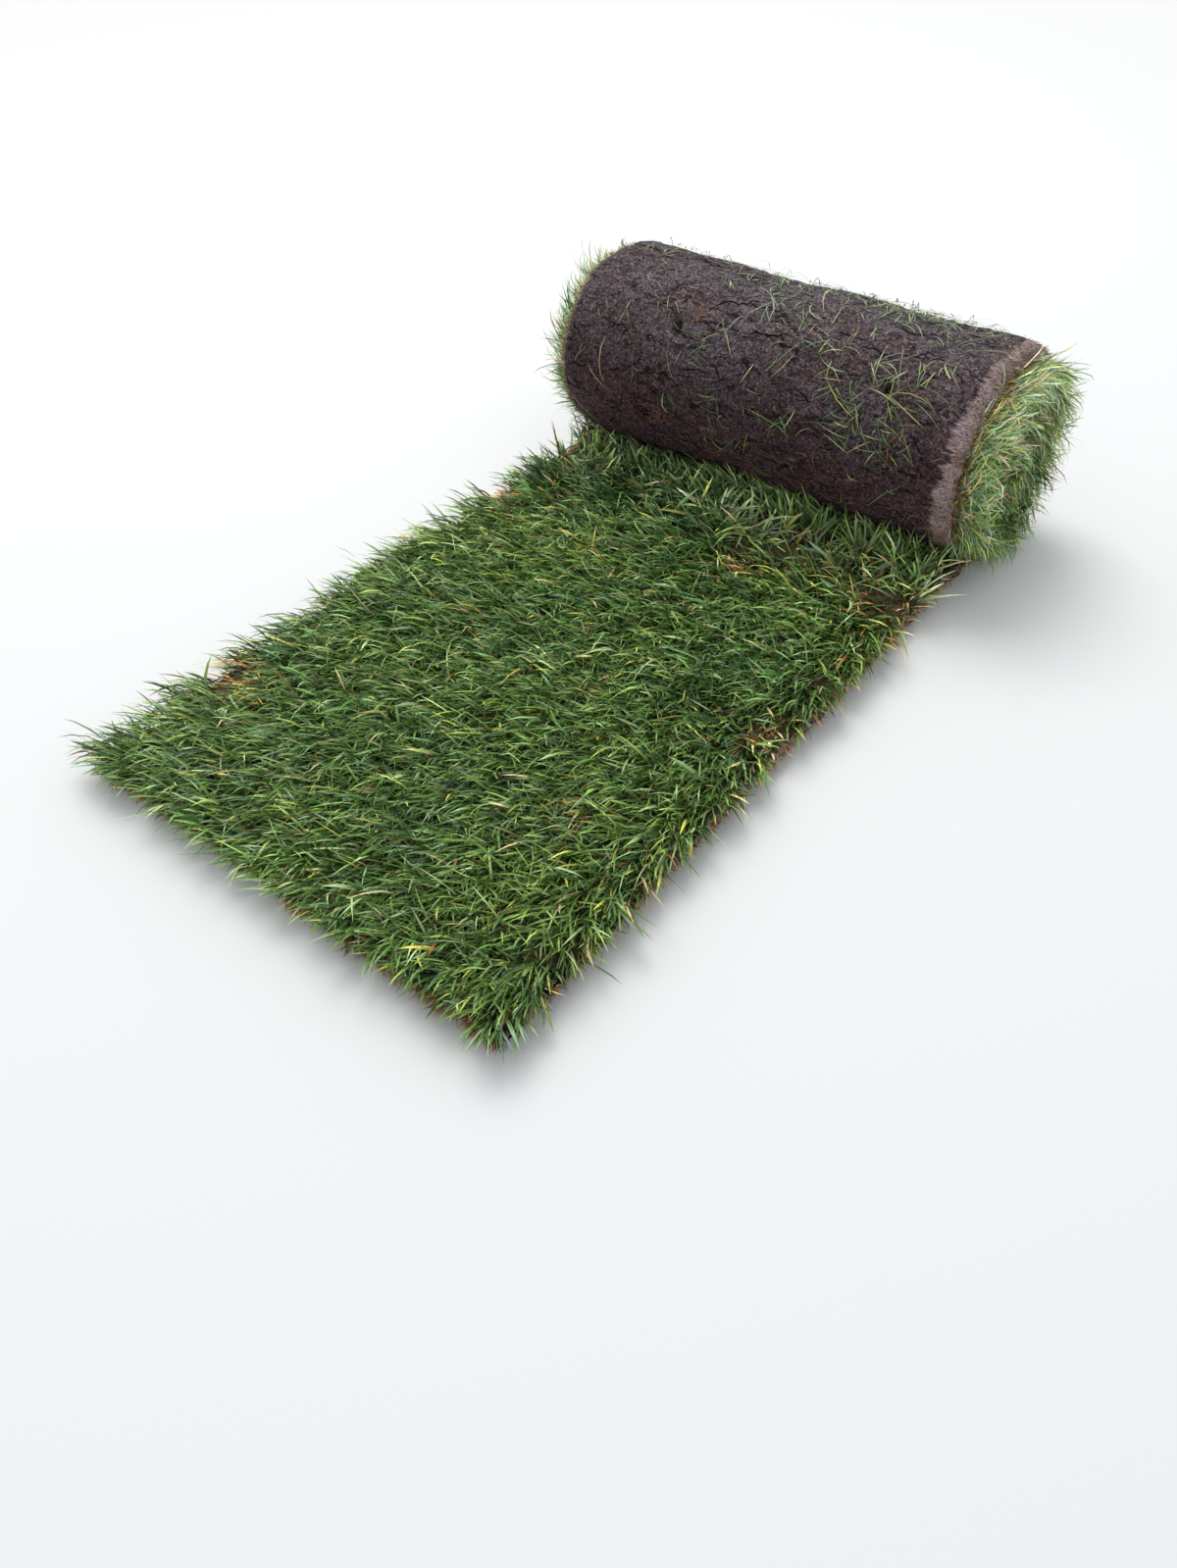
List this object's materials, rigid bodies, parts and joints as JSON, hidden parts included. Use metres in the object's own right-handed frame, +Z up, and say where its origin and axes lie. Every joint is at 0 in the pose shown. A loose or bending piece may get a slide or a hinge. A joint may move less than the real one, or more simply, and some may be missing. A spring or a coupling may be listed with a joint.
{
  "type": "roll of turf",
  "caption": "Roll of lawn turf on its side: a moist soil strip rolled grass side in, with its free end run out flat, grass up, and combed blades past its edges.",
  "frame": {"origin": "middle of the bounding box on the floor, under the strip's free end", "axes": "+X along the roll's axis, -Y the way the free end points, +Z up"},
  "size_m": [0.44, 0.7739, 0.19],
  "materials": {
    "soil": "matte, moist peaty soil",
    "grass": "soft fresh grass blades"
  },
  "bodies": {
    "root": {"soil_mat": "soil", "grass_sward": "grass"}
  },
  "joints": []
}
